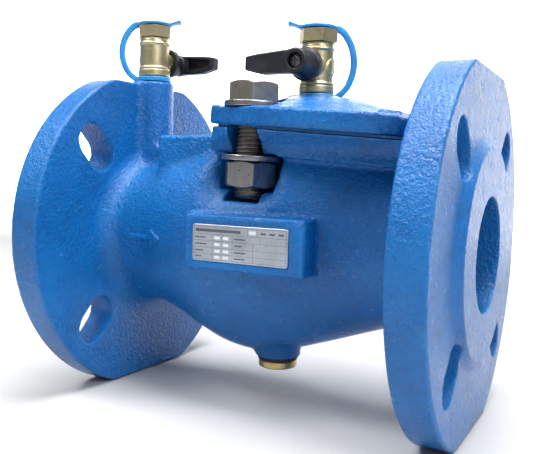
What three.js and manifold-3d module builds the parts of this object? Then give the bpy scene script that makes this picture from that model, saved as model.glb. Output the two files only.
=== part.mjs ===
// Flanged swing check valve with a bolted, sloping cover and two test taps.
// Millimetres, +Z up. X runs with the flow from the inlet flange to the outlet flange, and the origin is
// centred between the flanges on the plane that their bottom flats stand on.
import * as THREE from "three";
import { mergeVertices } from "three/addons/utils/BufferGeometryUtils.js";
import Module from "manifold-3d";

const wasm = await Module();
wasm.setup();

// ---------------------------------------------------------------- driving dimensions
const FACE_TO_FACE = 221; // between the two gasket faces
const AXIS_Z = 86.5; // height of the flow axis above the flats
const FLANGE_R = 92.5;
const FLANGE_T = 20.5; // with the raised face
const RAISED_R = 51;
const RAISED_H = 3.5;
const BORE_R = 27.75;
const SLOT_R = 9.5; // half the width of a flange slot
const SLOT_IN = 62.5; // centre radius of its inner end
const SLOT_OUT = 72.5; // centre radius of its outer end
const COVER_SLOPE = THREE.MathUtils.degToRad(4.3); // the cover falls towards the outlet
const COVER_X = 18; // where the cover's heights are measured
const BONNET_TOP = 56.4;
const BONNET_T = 12.4;
const GASKET_T = 1.1;
const COVER_T = 9.4;
const COVER_Y = 51; // half the cover's width
const DOME_TOP = 74.6; // flat pad under the outlet tap
const BOLT_X = -2.2;
const BOLT_Y = 31;
const BOLT_SLOPE = THREE.MathUtils.degToRad(2.2);
const BOLT_R = 7.9; // M16
const HEX_AF = 24;
const SEAT_X = -54;
const SEAT_SLOPE = THREE.MathUtils.degToRad(12);
const DISC_R = 32;
const PIVOT = [12, 40]; // hinge pin from the centre of the seat's face, in the seat's own frame
const TAP_IN = [-88.8, 88.2]; // x and foot height of the inlet tap
const TAP_OUT = [18, DOME_TOP];
const STEM_IN = 13.4; // stem of the inlet tap above its foot
const STEM_OUT = 16.8; // stem of the outlet tap, whose barrel is longer below
const GAP = 0.3;
const FACETS = 0.42; // share of the nominal number of sides that round surfaces are given

// ---------------------------------------------------------------- solids
function solid(geometry, matrix) {
  let g = geometry.index ? geometry.toNonIndexed() : geometry.clone();
  if (matrix) g.applyMatrix4(matrix);
  for (const name of Object.keys(g.attributes)) if (name !== "position") g.deleteAttribute(name);
  g = mergeVertices(g, 1e-4);
  const index = new Uint32Array(g.index.array);
  const tris = [];
  for (let i = 0; i < index.length; i += 3) {
    const [a, b, c] = [index[i], index[i + 1], index[i + 2]];
    if (a !== b && b !== c && a !== c) tris.push(a, b, c);
  }
  let s = new wasm.Manifold(
    new wasm.Mesh({ numProp: 3, vertProperties: new Float32Array(g.attributes.position.array), triVerts: new Uint32Array(tris) }),
  );
  if (s.volume() < 0) {
    for (let i = 0; i < tris.length; i += 3) [tris[i + 1], tris[i + 2]] = [tris[i + 2], tris[i + 1]];
    s = new wasm.Manifold(
      new wasm.Mesh({ numProp: 3, vertProperties: new Float32Array(g.attributes.position.array), triVerts: new Uint32Array(tris) }),
    );
  }
  return s;
}
const toGeometry = (s) => {
  const m = s.getMesh(),
    p = new Float32Array(m.numVert * 3);
  for (let i = 0; i < m.numVert; i++) p.set(m.vertProperties.subarray(i * m.numProp, i * m.numProp + 3), i * 3);
  const g = new THREE.BufferGeometry();
  g.setAttribute("position", new THREE.BufferAttribute(p, 3));
  g.setIndex(new THREE.BufferAttribute(new Uint32Array(m.triVerts), 1));
  g.computeVertexNormals();
  return g;
};
const M = () => new THREE.Matrix4();
const at = (x, y, z) => M().makeTranslation(x, y, z);
const about = (axis, angle) => M().makeRotationAxis(new THREE.Vector3(...axis), angle);
const chain = (...m) => m.reduce((a, b) => a.clone().multiply(b), M());

// A lathe about Z from [radius, height] points, or about X or Y.
const ALONG = { z: about([1, 0, 0], Math.PI / 2), x: about([0, 0, 1], -Math.PI / 2), y: M() };
function turned(points, segments = 32, axis = "z", place = M()) {
  const sides = Math.max(8, 2 * Math.round((segments * FACETS) / 2));
  const g = new THREE.LatheGeometry(points.map(([r, h]) => new THREE.Vector2(r, h)), sides);
  return solid(g, chain(place, ALONG[axis]));
}
const rod = (r, a, b, segments = 32, axis = "z", place = M()) => turned([[0, a], [r, a], [r, b], [0, b]], segments, axis, place);
const ring = (ri, ro, a, b, segments = 32, axis = "z", place = M()) =>
  turned([[ri, a], [ro, a], [ro, b], [ri, b], [ri, a]], segments, axis, place);
function box(x0, x1, y0, y1, z0, z1, place = M()) {
  return solid(new THREE.BoxGeometry(x1 - x0, y1 - y0, z1 - z0), chain(place, at((x0 + x1) / 2, (y0 + y1) / 2, (z0 + z1) / 2)));
}
// A prism of an outline in X and Y between two heights.
function prism(outline, z0, z1, place = M()) {
  const g = new THREE.ExtrudeGeometry(new THREE.Shape(outline.map(([x, y]) => new THREE.Vector2(x, y))), { depth: z1 - z0, bevelEnabled: false });
  return solid(g, chain(place, at(0, 0, z0)));
}
const hexagon = (af, turn = 0) =>
  [...Array(6).keys()].map((i) => {
    const a = (i * Math.PI) / 3 + turn;
    return [(af / Math.sqrt(3)) * Math.cos(a), (af / Math.sqrt(3)) * Math.sin(a)];
  });
// A polygon whose corners are rounded, each corner [x, y, radius].
function rounded(corners, steps = 2) {
  const out = [];
  corners.forEach(([x, y, r], i) => {
    const a = corners[(i + corners.length - 1) % corners.length],
      b = corners[(i + 1) % corners.length];
    const ua = new THREE.Vector2(a[0] - x, a[1] - y).normalize(),
      ub = new THREE.Vector2(b[0] - x, b[1] - y).normalize();
    const half = Math.acos(THREE.MathUtils.clamp(ua.dot(ub), -1, 1)) / 2,
      d = r / Math.tan(half);
    const p = new THREE.Vector2(x, y).addScaledVector(ua, d),
      q = new THREE.Vector2(x, y).addScaledVector(ub, d),
      c = new THREE.Vector2(x, y).addScaledVector(ua.clone().add(ub).normalize(), r / Math.sin(half));
    const t0 = Math.atan2(p.y - c.y, p.x - c.x);
    let dt = Math.atan2(q.y - c.y, q.x - c.x) - t0;
    while (dt > Math.PI) dt -= 2 * Math.PI;
    while (dt < -Math.PI) dt += 2 * Math.PI;
    for (let k = 0; k <= steps; k++) out.push([c.x + r * Math.cos(t0 + (dt * k) / steps), c.y + r * Math.sin(t0 + (dt * k) / steps)]);
  });
  return out;
}
// A closed skin through sections along X: each station is [x, half width, depth below, height above, squareness above].
function lofted(stations, around = 32) {
  const pos = [],
    idx = [];
  for (const [x, w, b, t, n] of stations)
    for (let i = 0; i < around; i++) {
      const a = (2 * Math.PI * i) / around,
        c = Math.cos(a),
        s = Math.sin(a);
      const e = s > 0 ? 2 / n : 1;
      pos.push(x, Math.sign(c) * w * Math.abs(c) ** e, s > 0 ? t * Math.abs(s) ** e : b * s);
    }
  const last = stations.length - 1;
  for (let k = 0; k < last; k++)
    for (let i = 0; i < around; i++) {
      const j = (i + 1) % around,
        p = k * around,
        q = p + around;
      idx.push(p + i, p + j, q + j, p + i, q + j, q + i);
    }
  for (let i = 1; i < around - 1; i++) {
    idx.push(0, i + 1, i);
    idx.push(last * around, last * around + i, last * around + i + 1);
  }
  const g = new THREE.BufferGeometry();
  g.setAttribute("position", new THREE.Float32BufferAttribute(pos, 3));
  g.setIndex(idx);
  return solid(g);
}
const join = (first, ...more) => more.reduce((a, b) => a.add(b), first);
const cut = (first, ...more) => more.reduce((a, b) => a.subtract(b), first);

// ---------------------------------------------------------------- frames, with Z measured from the flow axis
const END = FACE_TO_FACE / 2;
const INNER = END - FLANGE_T;
const slope = (height) => chain(at(COVER_X, 0, height), about([0, 1, 0], COVER_SLOPE), at(-COVER_X, 0, 0));
const bonnet = slope(BONNET_TOP); // its Z = 0 is the machined face of the body under the gasket
const FACE_AT_BOLT = BONNET_TOP + Math.tan(COVER_SLOPE) * (COVER_X - BOLT_X);
const boltFrame = (side) => chain(at(BOLT_X, side * BOLT_Y, FACE_AT_BOLT), about([0, 1, 0], BOLT_SLOPE));
const seat = chain(at(SEAT_X, 0, 0), about([0, 1, 0], -SEAT_SLOPE)); // its X = 0 is the seat's face

// ---------------------------------------------------------------- body casting
function flange(side) {
  const x = side * INNER,
    f = side * (END - RAISED_H),
    e = side * END;
  let disc = turned(
    [[0, x], [FLANGE_R - 1.5, x], [FLANGE_R, x + side * 1.5], [FLANGE_R, f - side * 1.5], [FLANGE_R - 1.5, f], [RAISED_R + 4, f], [RAISED_R, e], [0, e]],
    112, "x",
  );
  disc = cut(disc, box(-END - 5, END + 5, -100, 100, AXIS_Z, AXIS_Z + 20), box(-END - 5, END + 5, -100, 100, -AXIS_Z - 20, -AXIS_Z));
  for (const a of [45, 135, 225, 315]) {
    const turn = about([1, 0, 0], THREE.MathUtils.degToRad(a));
    const lo = Math.min(x, e) - 1,
      hi = Math.max(x, e) + 1;
    disc = cut(
      disc,
      rod(SLOT_R, lo, hi, 20, "x", chain(turn, at(0, SLOT_IN, 0))),
      rod(SLOT_R, lo, hi, 20, "x", chain(turn, at(0, SLOT_OUT, 0))),
      box(lo, hi, SLOT_IN, SLOT_OUT, -SLOT_R, SLOT_R, turn),
    );
  }
  return disc;
}
const BODY_SKIN = [
  [-INNER - 2, 44, 44, 43, 2], [-84, 40, 41, 41, 2], [-66, 39, 43, 43, 2.2], [-54, 42, 47, 46, 2.4], [-40, 45, 54, 49, 2.4],
  [-25, 46, 60, 56, 2.3], [-6, 44.5, 62, 60, 2.2], [12, 42, 58.5, 60, 2.2], [32, 37, 52, 58, 2.2], [56, 34.5, 43.5, 54, 2.2], [78, 34.5, 36.5, 46, 2.1], [INNER + 2, 37, 35, 41, 2],
];
const CAVITY_SKIN = [
  [-62, 34.5, 36, 36, 2.2], [-55, 36.5, 41, 40, 2.3], [-41, 39, 48, 43, 2.4], [-25, 39.5, 53.5, 47, 2.4], [-8, 38, 55, 52, 2.2], [10, 35.5, 51, 52, 2.2], [28, 31.5, 43, 50, 2.2],
  [44, 28.4, 33, 34, 2.2], [56, BORE_R, BORE_R, BORE_R, 2],
];
const BONNET_OUTLINE = rounded([[-23.5, 37, 3], [-23.5, -37, 3], [16, -COVER_Y, 12], [84, -COVER_Y, 5], [84, COVER_Y, 5], [16, COVER_Y, 12]]);
const COVER_OUTLINE = rounded([[-24.5, 38, 3], [-24.5, -38, 3], [16, -COVER_Y - 0.6, 14], [70, -COVER_Y - 0.6, 10], [83, -44, 6], [83, 44, 6], [70, COVER_Y + 0.6, 10], [16, COVER_Y + 0.6, 14]]);
const OPENING = rounded([[-17, 11.6, 4], [-17, -11.6, 4], [14, -11.6, 4], [20, -24, 6], [54, -24, 10], [54, 24, 10], [20, 24, 6], [14, 11.6, 4]]);

let body = join(
  flange(-1),
  flange(1),
  lofted(BODY_SKIN, 24).subtract(box(-30, 200, -90, 90, -3, 60, bonnet)),
  prism(BONNET_OUTLINE, -BONNET_T, 0, bonnet),
  rod(11.6, 20, 88, 40, "z", at(TAP_IN[0], 0, 0)), // tower of the inlet tap
  box(-100, -74, -9, 9, 20, 50),
  box(-64.5, -16, -28, 28, 20, 55.6), // shelf over the hinge
  box(-29.5, 37.5, -50, 0, -12.5, 14.7), // name plate pad
  box(-47, -30, -6, 6, -52, -40), // casting lug
  rod(12.5, -64.5, -45, 28), // boss of the drain plug
);
// The lip on the back of the outlet flange that the cover's tongue lies under.
body = body.add(box(80, 92, -30, 30, -2, 16, bonnet).subtract(box(70, 87.6, -40, 40, -5, 8.6, bonnet)));
let cavity = lofted(CAVITY_SKIN, 20);
cavity = join(cavity.subtract(box(-30, 200, -90, 90, -6, 60, bonnet)), box(-70, -14, -21.5, 21.5, 0, 49.6)).intersect(box(0, 160, -80, 80, -80, 80, seat));
// Walls of the two pockets that the cover's nuts stand in.
for (const s of [-1, 1]) cavity = cut(cavity, rod(19.5, -35, -10, 40, "z", boltFrame(s)), rod(13.5, -40, -30, 32, "z", boltFrame(s)));
body = cut(
  body,
  cavity,
  rod(BORE_R, -END - 1, SEAT_X - 2, 48, "x"),
  rod(BORE_R, 50, END + 1, 48, "x"),
  rod(BORE_R, -22, -3, 48, "x", seat),
  rod(34 + GAP, -7 - GAP, 0.5, 48, "x", seat),
  prism(OPENING, -24, 1, bonnet),
  rod(6.9, 70, 90, 40, "z", at(TAP_IN[0], 0, 0)), // port of the inlet tap
  rod(3.5, 10, 75, 16, "z", at(TAP_IN[0], 0, 0)),
  rod(8.3, -70, -40, 24), // drain hole
  box(-24.8, 29.8, -50.5, -49.3, -8.5, 10.3), // recess of the name plate
);
for (const s of [-1, 1]) {
  const f = boltFrame(s);
  body = cut(
    body,
    rod(8.8, -30, 10, 24, "z", f),
    s < 0 ? box(-8.8, 8.8, -40, 0, -30, 10, f) : box(-8.8, 8.8, 0, 40, -30, 10, f), // the slot is open to the outside
    rod(16.6, -17, -12.9, 40, "z", f), // spot face, then room for the nut and for the bolt's end
    rod(15.4, -31, -12.9, 40, "z", f),
    rod(10, -36.6, -12.9, 28, "z", f),
    s < 0 ? box(-15.4, 15.4, -40, 0, -31, -12.9, f) : box(-15.4, 15.4, 0, 40, -31, -12.9, f),
    s < 0 ? box(-10, 10, -40, 0, -36.6, -12.9, f) : box(-10, 10, 0, 40, -36.6, -12.9, f),
  );
}

// ---------------------------------------------------------------- cover, gasket and their fasteners
const plate = slope(BONNET_TOP + GASKET_T);
let cover = join(
  prism(COVER_OUTLINE, 0, COVER_T, plate),
  turned([[0, 0], [40, 0], [40, 9.2], [33, 12.6], [24, 15.4], [15, 17], [0, 17.6]], 40, "z", chain(at(27, 0, BONNET_TOP + GASKET_T + 0.8), about([0, 1, 0], COVER_SLOPE))),
  rod(14, 60, DOME_TOP, 28, "z", at(TAP_OUT[0], 0, 0)),
);
cover = cut(
  cover,
  box(79, 95, -60, 60, 7.2, 20, plate), // tongue
  box(60, 95, -60, -31, 1, 20, chain(plate, at(18, 0, 0))),
  box(60, 95, 31, 60, 1, 20, chain(plate, at(18, 0, 0))),
  turned([[0, -5], [33, -5], [33, 2], [24, 5], [12, 6], [0, 6.2]], 36, "z", chain(at(24, 0, BONNET_TOP + GASKET_T + 0.8), about([0, 1, 0], COVER_SLOPE))),
  rod(6.9, DOME_TOP - 9.5, DOME_TOP + 1, 40, "z", at(TAP_OUT[0], 0, 0)),
  rod(3.5, 50, DOME_TOP, 16, "z", at(TAP_OUT[0], 0, 0)),
  rod(14.2, DOME_TOP, DOME_TOP + 6, 40, "z", at(TAP_OUT[0], 0, 0)), // spot face of the tap
);
for (const s of [-1, 1])
  cover = cut(cover, rod(8.8, -10, 40, 24, "z", boltFrame(s)), rod(17, 10, 40, 40, "z", boltFrame(s)));

let gasket = prism(rounded([[-21, 35.4, 3], [-21, -35.4, 3], [16, -49.6, 12], [79, -49.6, 5], [79, 49.6, 5], [16, 49.6, 12]]), 0.15, GASKET_T - 0.15, bonnet);
gasket = gasket.subtract(prism(OPENING, -3, 3, bonnet));
for (const s of [-1, 1]) gasket = cut(gasket, rod(9, -10, 10, 24, "z", boltFrame(s)), s < 0 ? box(-9, 9, -40, 0, -5, 5, boltFrame(s)) : box(-9, 9, 0, 40, -5, 5, boltFrame(s)));

function bolt(s) {
  const f = boltFrame(s);
  return join(
    prism(hexagon(HEX_AF, -0.06), 13.5, 22.9, f),
    turned([[0, -34.8], [6.6, -34.8], [BOLT_R, -33.4], [BOLT_R, 13.6], [0, 13.6]], 32, "z", f),
  );
}
const nut = (s) =>
  prism(hexagon(HEX_AF, 0.12), -29.2, -16.3, boltFrame(s))
    .subtract(rod(BOLT_R + GAP, -40, 0, 32, "z", boltFrame(s)));
const washer = (s, z0, z1) => ring(BOLT_R + 0.6, 15, z0, z1, 36, "z", boltFrame(s));

// ---------------------------------------------------------------- seat and swinging flap
const [PX, PZ] = PIVOT;
const seatRing = turned([[BORE_R, -7], [34, -7], [34, -0.8], [32.6, 0], [29, 0], [BORE_R, -1], [BORE_R, -7]], 48, "x", seat);
const disc = cut(
  turned([[0, 1], [DISC_R, 1], [DISC_R, 5.5], [28, 7.6], [11, 8.2], [11, 9.4], [4.7, 9.4], [4.7, 21.5], [4, 22.4], [0, 22.4]], 44, "x", seat),
  ring(22.3, 30.7, 0, 3.6, 44, "x", seat),
  rod(20.6, 0, 2.2, 32, "x", seat),
);
const discSeal = ring(22.6, 30.4, 0.3, 3.3, 44, "x", seat);
const retainer = turned([[0, -0.6], [22.2, -0.6], [22.2, 0.7], [20.3, 0.7], [20.3, 1.9], [0, 1.9]], 32, "x", seat);
const arm = cut(
  join(
    rod(10.5, 9.7, 14.6, 28, "x", seat),
    prism(rounded([[9.7, 0, 1], [14.5, 0, 1], [14.5, 12, 3], [17, 34, 1], [11, 34, 1]], 2), -7, 7, chain(seat, M().makeBasis(new THREE.Vector3(1, 0, 0), new THREE.Vector3(0, 0, 1), new THREE.Vector3(0, -1, 0)))),
    rod(7, -8, 8, 24, "y", chain(seat, at(PX, 0, PZ))),
  ),
  rod(5.4, 5, 20, 20, "x", seat),
  rod(5.2, -12, 12, 40, "y", chain(seat, at(PX, 0, PZ))),
  box(-5, 30, -2.6, 2.6, 12, 27, seat).intersect(box(14.2, 30, -9, 9, 0, 40, seat)),
);
const armBush = ring(3.45, 4.95, -8, 8, 40, "y", chain(seat, at(PX, 0, PZ)));
const hingePin = turned([[0, -15.5], [2.6, -15.5], [3.2, -14.9], [3.2, 14.9], [2.6, 15.5], [0, 15.5]], 18, "y", chain(seat, at(PX, 0, PZ)));
const discWasher = ring(5.4, 9.5, 14.9, 16.4, 28, "x", seat);
const upright = chain(seat, M().makeBasis(new THREE.Vector3(0, 0, 1), new THREE.Vector3(0, 1, 0), new THREE.Vector3(-1, 0, 0)));
const discNut = solid(
  new THREE.ExtrudeGeometry(new THREE.Shape(hexagon(15.6).map(([a, b]) => new THREE.Vector2(a, b))), { depth: 5.4, bevelEnabled: false }),
  chain(seat, about([0, 1, 0], Math.PI / 2), at(0, 0, 16.7)),
).subtract(rod(5.3, 10, 30, 36, "x", seat));
// Bracket over the seat, with two ears for the pin, fixed to the wall by two screws.
let bracket = join(box(0.4, 4.4, -21.2, 21.2, PZ - 5.2, PZ + 6.4, seat), ...[-1, 1].map((s) => join(
  box(3, PX, s > 0 ? 8.6 : -14.4, s > 0 ? 14.4 : -8.6, PZ - 5.2, PZ + 6.4, seat),
  rod(6.4, s > 0 ? 8.6 : -14.4, s > 0 ? 14.4 : -8.6, 24, "y", chain(seat, at(PX, 0, PZ))),
)));
bracket = cut(bracket, rod(3.5, -20, 20, 18, "y", chain(seat, at(PX, 0, PZ))), ...[-1, 1].map((s) => rod(2.4, -2, 6, 14, "x", chain(seat, at(0, s * 18, PZ + 1)))));
const bracketScrew = (s) => join(rod(3.3, 4.7, 8, 16, "x", chain(seat, at(0, s * 18, PZ + 1))), rod(2, -7, 4.8, 12, "x", chain(seat, at(0, s * 18, PZ + 1)))).subtract(
  solid(new THREE.ExtrudeGeometry(new THREE.Shape(hexagon(3.6).map(([a, b]) => new THREE.Vector2(a, b))), { depth: 3, bevelEnabled: false }), chain(seat, at(0, s * 18, PZ + 1), about([0, 1, 0], Math.PI / 2), at(0, 0, 6.2))),
);
for (const s of [-1, 1]) body = body.subtract(rod(2.4, -8, 1, 14, "x", chain(seat, at(0, s * 18, PZ + 1))));

// ---------------------------------------------------------------- drain plug and name plate
const plug = join(turned([[0, -70.6], [9.6, -70.6], [10.6, -69.8], [10.6, -66.4], [0, -66.4]], 28), rod(8, -66.5, -53, 24)).subtract(
  solid(new THREE.ExtrudeGeometry(new THREE.Shape(hexagon(8).map(([a, b]) => new THREE.Vector2(a, b))), { depth: 4, bevelEnabled: false }), at(0, 0, -71.6)),
);
const plugSeal = ring(8.4, 11.2, -66.2, -64.8, 28);
const namePlate = prism(rounded([[-24.4, -8.2, 1.2], [29.4, -8.2, 1.2], [29.4, 10, 1.2], [-24.4, 10, 1.2]], 2), 0, 0.6, chain(at(0, -49.6, 0), about([1, 0, 0], Math.PI / 2)));

// ---------------------------------------------------------------- test tap: foot at Z = 0, stem towards -Y, lever towards -X
function tapPieces(S) {
  const stemAt = at(0, 0, S);
  const tapBody = cut(
    join(
      turned([[0, -8.6], [5.8, -8.6], [6.3, -8], [6.3, 3.5], [9.3, 3.5], [9.3, 7.1], [8.8, 7.5], [9.3, 8], [8.8, 8.8], [8.8, S + 8.2], [9.3, S + 8.9], [8.8, S + 9.6], [8.8, S + 12.2], [0, S + 12.2]], 28),
      rod(5.6, -13, -6, 20, "y", stemAt),
    ),
    rod(3, -12, S - 3.4, 16),
    rod(6.8, S - 6.7, S + 13, 40),
    rod(2.5, -20, 0, 14, "y", stemAt),
    rod(4.2, -11.6, -14, 16, "y", stemAt),
  );
  const tapEnd = cut(
    join(
      prism(hexagon(18, 0.15), S + 12.5, S + 19.1),
      rod(6.4, S + 7, S + 12.6, 24),
    ),
    rod(3, S + 2, S + 16.1, 16),
    rod(5.6, S + 15.2, S + 27, 20),
  );
  const tapBall = cut(
    turned([...Array(9).keys()].map((i) => { const a = -Math.PI / 2 + (Math.PI * i) / 8; return [i % 8 ? 6 * Math.cos(a) : 0, 6 * Math.sin(a)]; }), 28, "z", stemAt),
    rod(2.9, -8, 8, 16, "x", stemAt),
    box(-4, 4, -7, -4.6, -1.3, 1.3, stemAt),
  );
  const tapSeatLow = ring(3.6, 6.3, S - 6.5, S - 5.1, 32);
  const tapSeatHigh = ring(3.6, 6.3, S + 5.2, S + 6.7, 32);
  const tapStem = join(rod(2.2, -25.4, -6.2, 14, "y", stemAt), box(-2.3, 2.3, -6.3, -4.9, -1, 1, stemAt));
  const tapGland = solid(
    new THREE.ExtrudeGeometry(new THREE.Shape(hexagon(9.6).map(([a, b]) => new THREE.Vector2(a, b))), { depth: 2.6, bevelEnabled: false }),
    chain(stemAt, about([1, 0, 0], Math.PI / 2), at(0, 0, 13.3)),
  ).subtract(rod(2.5, -30, 0, 14, "y", stemAt));
  const leverOutline = rounded([[-28.5, -3.4, 0.8], [-28.5, 3.4, 0.8], [-21, 4.4, 3], [0, 5.8, 5], [6, 5.8, 5.4], [6, -5.8, 5.4], [-19, -5.8, 3]], 3);
  let lever = join(
    prism(leverOutline, 20.4, 26.8, chain(stemAt, about([1, 0, 0], Math.PI / 2))),
    turned([[0, -21], [6.6, -21], [8.5, -15], [8.5, -11.6], [0, -11.6]], 28, "y", stemAt),
  );
  lever = cut(
    lever,
    rod(6.4, -16.4, -5, 24, "y", stemAt), // skirt over the gland
    rod(2.5, -30, 0, 14, "y", stemAt),
    rod(3.9, -30, -23.6, 20, "y", stemAt), // recess of the screw
    prism(rounded([[-25.5, -1.9, 0.5], [-25.5, 1.9, 0.5], [-10, 3.4, 1], [-10, -3.4, 1]], 2), 19, 24.9, chain(stemAt, about([1, 0, 0], Math.PI / 2))),
  );
  // The hollow of the lever does not reach into its hub.
  const tapScrew = cut(rod(3.3, -26.4, -25.6, 18, "y", stemAt), box(-0.5, 0.5, -27, -26, -4, 4, stemAt), box(-4, 4, -27, -26, -0.5, 0.5, stemAt));
  const tapCap = join(
    turned([[0, S + 19.5], [9.6, S + 19.5], [9.9, S + 20], [9.9, S + 21.2], [9.2, S + 21.9], [0, S + 21.9]], 32),
    rod(5.2, S + 16.4, S + 19.6, 20),
    prism(rounded([[-15.2, -2.6, 2.4], [-8, -3.4, 1], [-8, 3.4, 1], [-15.2, 2.6, 2.4]], 3), S + 20.6, S + 21.8),
  );
  return { tapBody, tapEnd, tapBall, tapSeatLow, tapSeatHigh, tapStem, tapGland, lever, tapScrew, tapCap };
}
// Strap: a flat band from the ring at the foot round to the cap, in the plane that faces +X here.
function strap(S) {
  const shape = new THREE.Shape([new THREE.Vector2(-0.8, -2.3), new THREE.Vector2(0.8, -2.3), new THREE.Vector2(0.8, 2.3), new THREE.Vector2(-0.8, 2.3)]);
  const k = (S + 20.7) / 34.1; // the same loop, drawn out to the cap's height
  const pts = [[9.6, 1.6], [12.6, 3.2], [16.2, 7.2], [18.6, 13], [19.1, 19], [17.6, 25.4], [14.4, 30.6], [12.1, 32.9], [10.8, 34.1]].map(([x, z]) => [x, z < 3 ? z : z * k]);
  const curve = new THREE.CatmullRomCurve3(pts.map(([x, z]) => new THREE.Vector3(x, 0, z)));
  const frames = 14;
  const p = curve.getSpacedPoints(frames),
    pos = [],
    idx = [];
  p.forEach((q, i) => {
    const a = p[Math.max(0, i - 1)],
      b = p[Math.min(frames, i + 1)];
    const t = b.clone().sub(a).normalize();
    for (const v of shape.getPoints().slice(0, 4)) pos.push(q.x + v.x * t.z, v.y, q.z - v.x * t.x);
  });
  for (let k = 0; k < frames; k++)
    for (let i = 0; i < 4; i++) {
      const j = (i + 1) % 4,
        a = k * 4,
        b = a + 4;
      idx.push(a + i, b + j, a + j, a + i, b + i, b + j);
    }
  const e = frames * 4;
  idx.push(0, 1, 2, 0, 2, 3, e, e + 2, e + 1, e, e + 3, e + 2);
  const g = new THREE.BufferGeometry();
  g.setAttribute("position", new THREE.Float32BufferAttribute(pos, 3));
  g.setIndex(idx);
  return join(ring(6.7, 10.2, 0.3, 3.1, 32), solid(g));
}

// ---------------------------------------------------------------- scene
const metal = (color, roughness, metalness = 1) => ({ color, roughness, metalness });
const PAINT = metal(0x1668b8, 0.32, 0),
  BRASS = metal(0xb79a55, 0.35),
  STEEL = metal(0xb9bcc0, 0.34),
  ZINC = metal(0xc4c6c6, 0.38),
  BLACK = metal(0x15171a, 0.5, 0),
  SKY = metal(0x3f9fe0, 0.42, 0),
  RUBBER = metal(0x1a1a1b, 0.85, 0),
  PTFE = metal(0xe9e9e4, 0.6, 0),
  BRONZE = metal(0x9c7440, 0.4),
  FIBRE = metal(0x3a3d40, 0.9, 0),
  PLATE = metal(0xc9ccd0, 0.3);

const valve = new THREE.Group();
valve.position.z = AXIS_Z;
const root = new THREE.Group();
root.add(valve);
const add = (name, s, look, parent = valve) => {
  const mesh = new THREE.Mesh(toGeometry(s), new THREE.MeshStandardMaterial(look));
  mesh.name = name;
  parent.add(mesh);
  return mesh;
};

add("valve_body", body, PAINT);
add("cover", cover, PAINT);
add("cover_gasket", gasket, FIBRE);
for (const [side, s] of [["front", -1], ["rear", 1]]) {
  add("cover_bolt_" + side, bolt(s), ZINC);
  add("bolt_washer_" + side, washer(s, 10.25, 13.25), ZINC);
  add("nut_washer_" + side, washer(s, -16, -13.2), ZINC);
  add("cover_nut_" + side, nut(s), ZINC);
}
add("seat_ring", seatRing, BRONZE);
add("flap_disc", disc, STEEL);
add("disc_seal", discSeal, RUBBER);
add("seal_retainer", retainer, STEEL);
add("hinge_arm", arm, STEEL);
add("arm_bush", armBush, BRONZE);
add("disc_washer", discWasher, STEEL);
add("disc_nut", discNut, STEEL);
add("hinge_pin", hingePin, STEEL);
add("hinge_bracket", bracket, STEEL);
add("bracket_screw_front", bracketScrew(-1), STEEL);
add("bracket_screw_rear", bracketScrew(1), STEEL);
add("drain_plug", plug, BRASS);
add("drain_plug_seal", plugSeal, FIBRE);
add("name_plate", namePlate, PLATE);

for (const [end, [x, z], turn, swing, S] of [["inlet", TAP_IN, Math.PI, 0.5036, STEM_IN], ["outlet", TAP_OUT, 0, 0.5036, STEM_OUT]]) {
  const { tapBody, tapEnd, tapBall, tapSeatLow, tapSeatHigh, tapStem, tapGland, lever, tapScrew, tapCap } = tapPieces(S);
  const tap = new THREE.Group();
  tap.position.set(x, 0, z + 0.02);
  tap.rotation.z = turn;
  valve.add(tap);
  add(end + "_tap_body", tapBody, BRASS, tap);
  add(end + "_tap_end", tapEnd, BRASS, tap);
  add(end + "_tap_ball", tapBall, STEEL, tap);
  add(end + "_tap_seat_lower", tapSeatLow, PTFE, tap);
  add(end + "_tap_seat_upper", tapSeatHigh, PTFE, tap);
  add(end + "_tap_stem", tapStem, BRASS, tap);
  add(end + "_tap_gland", tapGland, BRASS, tap);
  add(end + "_tap_lever", lever, BLACK, tap);
  add(end + "_tap_screw", tapScrew, ZINC, tap);
  const loop = new THREE.Group();
  loop.rotation.z = swing;
  tap.add(loop);
  add(end + "_dust_cap", tapCap, SKY, loop);
  add(end + "_cap_strap", strap(S), SKY, loop);
}

export default root;
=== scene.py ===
import bpy
import math
from concurrent.futures import ThreadPoolExecutor
import numpy as np
from mathutils import Matrix, Vector


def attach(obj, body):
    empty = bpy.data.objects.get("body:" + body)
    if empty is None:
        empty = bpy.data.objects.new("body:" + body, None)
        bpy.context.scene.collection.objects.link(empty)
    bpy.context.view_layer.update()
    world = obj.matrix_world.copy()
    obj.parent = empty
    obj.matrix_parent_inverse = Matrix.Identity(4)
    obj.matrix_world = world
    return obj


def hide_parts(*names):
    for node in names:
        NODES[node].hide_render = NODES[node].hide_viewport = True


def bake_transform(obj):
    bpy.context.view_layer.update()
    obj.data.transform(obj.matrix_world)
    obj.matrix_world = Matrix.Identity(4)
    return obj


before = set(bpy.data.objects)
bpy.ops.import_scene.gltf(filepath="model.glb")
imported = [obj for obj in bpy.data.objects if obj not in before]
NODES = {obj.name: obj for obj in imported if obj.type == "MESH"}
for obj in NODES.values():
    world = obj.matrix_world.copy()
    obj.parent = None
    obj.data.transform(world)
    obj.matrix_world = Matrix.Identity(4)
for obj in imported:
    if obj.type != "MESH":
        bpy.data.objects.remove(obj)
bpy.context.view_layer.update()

# Lengths below are millimetres with Z from the flow axis, which lies 86.5 mm over the frame's origin.
LIFT = 86.5
END = 110.5
INNER = 90.0
COVER_SLOPE = math.radians(4.3)
BOLT_SLOPE = math.radians(2.2)
BONNET_TOP = 56.4
DOME_TOP = 74.6
TAP_IN = (-88.8, 88.2)
TAP_OUT = (18.0, 74.6)
STEM = {"inlet": 13.4, "outlet": 16.8}

# ------------------------------------------------------------------ transforms


def T(x, y, z):
    m = np.eye(4)
    m[:3, 3] = (x, y, z)
    return m


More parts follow.
